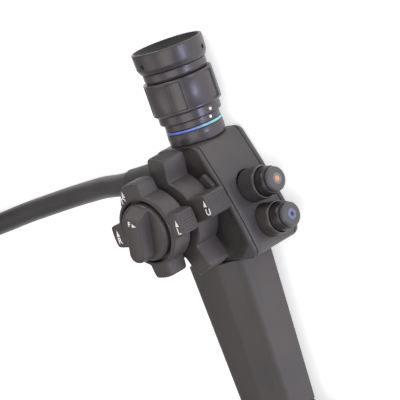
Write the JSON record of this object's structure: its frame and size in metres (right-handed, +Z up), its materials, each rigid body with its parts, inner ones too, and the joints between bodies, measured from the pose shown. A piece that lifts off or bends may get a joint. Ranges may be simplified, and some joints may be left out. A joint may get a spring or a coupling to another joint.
{
  "type": "flexible endoscope control section",
  "caption": "Flexible endoscope control section with eyepiece, lobed angulation knobs with locks, suction and air-water valves, grip, and umbilical cord with its connector.",
  "frame": {"origin": "on the left cover's flat outer face, straight below the axis of the angulation knobs", "axes": "+X to the front with the valves, +Y towards the eyepiece, +Z up along the knob axis, with the instrument lying on its left side"},
  "size_m": [0.406, 0.3411, 0.086],
  "materials": {
    "shell": "satin",
    "knob": "satin",
    "rubber": "matte",
    "steel": "turned",
    "brass": "turned",
    "black": "satin",
    "blue": "gloss",
    "glass": "polished",
    "fibre": "sheathed"
  },
  "bodies": {
    "control_section": {"body_housing": "shell", "left_cover": "shell", "cover_screw_1": "steel", "cover_screw_2": "steel", "cover_screw_3": "steel", "chassis_plate": "steel", "knob_spindle": "steel", "centre_sleeve": "steel", "bearing_sleeve": "steel", "ud_brake_disc": "rubber", "rl_brake_disc": "rubber", "wire_guide_block": "brass", "eyepiece_barrel": "black", "base_collar": "knob", "colour_ring": "blue", "index_collar": "knob", "eyepiece_neck": "knob", "eyecup": "rubber", "ocular_window": "glass", "bundle_holder": "brass", "image_bundle": "fibre", "light_guide_bundle": "fibre", "suction_tube": "black", "air_water_tube": "black", "suction_cylinder": "shell", "suction_spring": "steel", "air_water_cylinder": "shell", "air_water_spring": "steel", "grip_sleeve": "shell", "port_block": "shell", "biopsy_cap": "rubber", "insertion_gland": "black", "umbilical_boot": "rubber", "umbilical_tube": "rubber", "umbilical_coil": "rubber", "coil_tie": "black", "connector_boot": "rubber", "connector_housing": "shell", "light_guide_prong": "steel", "air_pipe": "steel"},
    "ud_knob_set": {"ud_knob": "knob", "ud_shaft": "steel", "ud_drum": "brass"},
    "rl_knob_set": {"rl_knob": "knob", "rl_shaft": "steel", "rl_drum": "brass"},
    "ud_lock_lever": {"ud_lock_lever": "knob"},
    "rl_lock_knob": {"rl_lock_knob": "knob"},
    "up_wire": {"up_wire_rod": "steel"},
    "down_wire": {"down_wire_rod": "steel"},
    "left_wire": {"left_wire_rod": "steel"},
    "right_wire": {"right_wire_rod": "steel"},
    "dioptre_ring": {"dioptre_ring": "knob"},
    "lens_carriage": {"lens_cell": "black", "ocular_lens": "glass"},
    "suction_button": {"suction_button": "rubber"},
    "air_water_button": {"air_water_button": "rubber"}
  },
  "joints": [
    {"name": "ud_turn", "type": "hinge", "parent": "control_section", "child": "ud_knob_set", "pos_m": [0, 0, 0.0511], "axis": [0, 0, 1], "range_deg": [-95, 110]},
    {"name": "rl_turn", "type": "hinge", "parent": "control_section", "child": "rl_knob_set", "pos_m": [0, 0, 0.0698], "axis": [0, 0, 1], "range_deg": [-90, 90]},
    {"name": "ud_lock", "type": "hinge", "parent": "control_section", "child": "ud_lock_lever", "pos_m": [0, 0, 0.041], "axis": [0, 0, 1], "range_deg": [0, 40]},
    {"name": "rl_lock", "type": "hinge", "parent": "control_section", "child": "rl_lock_knob", "pos_m": [0, 0, 0.08], "axis": [0, 0, 1], "range_deg": [-70, 0]},
    {"name": "up_wire_slide", "type": "slide", "parent": "control_section", "child": "up_wire", "axis": [0, 1, 0], "range_m": [-0.0149, 0.0172]},
    {"name": "down_wire_slide", "type": "slide", "parent": "control_section", "child": "down_wire", "axis": [0, 1, 0], "range_m": [-0.0172, 0.0149]},
    {"name": "left_wire_slide", "type": "slide", "parent": "control_section", "child": "left_wire", "axis": [0, 1, 0], "range_m": [-0.0141, 0.0141]},
    {"name": "right_wire_slide", "type": "slide", "parent": "control_section", "child": "right_wire", "axis": [0, 1, 0], "range_m": [-0.0141, 0.0141]},
    {"name": "dioptre_turn", "type": "hinge", "parent": "control_section", "child": "dioptre_ring", "pos_m": [0.003, 0.057, 0.0203], "axis": [0, 1, 0], "range_deg": [-60, 60]},
    {"name": "lens_focus", "type": "slide", "parent": "control_section", "child": "lens_carriage", "axis": [0, 1, 0], "range_m": [-0.0023, 0.0023]},
    {"name": "suction_press", "type": "slide", "parent": "control_section", "child": "suction_button", "axis": [-0.9962, -0.0872, 0], "range_m": [0, 0.0043], "stiffness_N_per_m": 400, "springref_m": -0.003, "deforming": ["suction_spring"]},
    {"name": "air_water_press", "type": "slide", "parent": "control_section", "child": "air_water_button", "axis": [-0.9962, -0.0872, 0], "range_m": [0, 0.0043], "stiffness_N_per_m": 400, "springref_m": -0.003, "deforming": ["air_water_spring"]}
  ],
  "couplings": [
    {"joint": "up_wire_slide", "follows": "ud_turn", "m_per_rad": 0.0089},
    {"joint": "down_wire_slide", "follows": "ud_turn", "m_per_rad": -0.0089},
    {"joint": "left_wire_slide", "follows": "rl_turn", "m_per_rad": 0.0089},
    {"joint": "right_wire_slide", "follows": "rl_turn", "m_per_rad": -0.0089},
    {"joint": "lens_focus", "follows": "dioptre_turn", "m_per_rad": 0.0021}
  ]
}
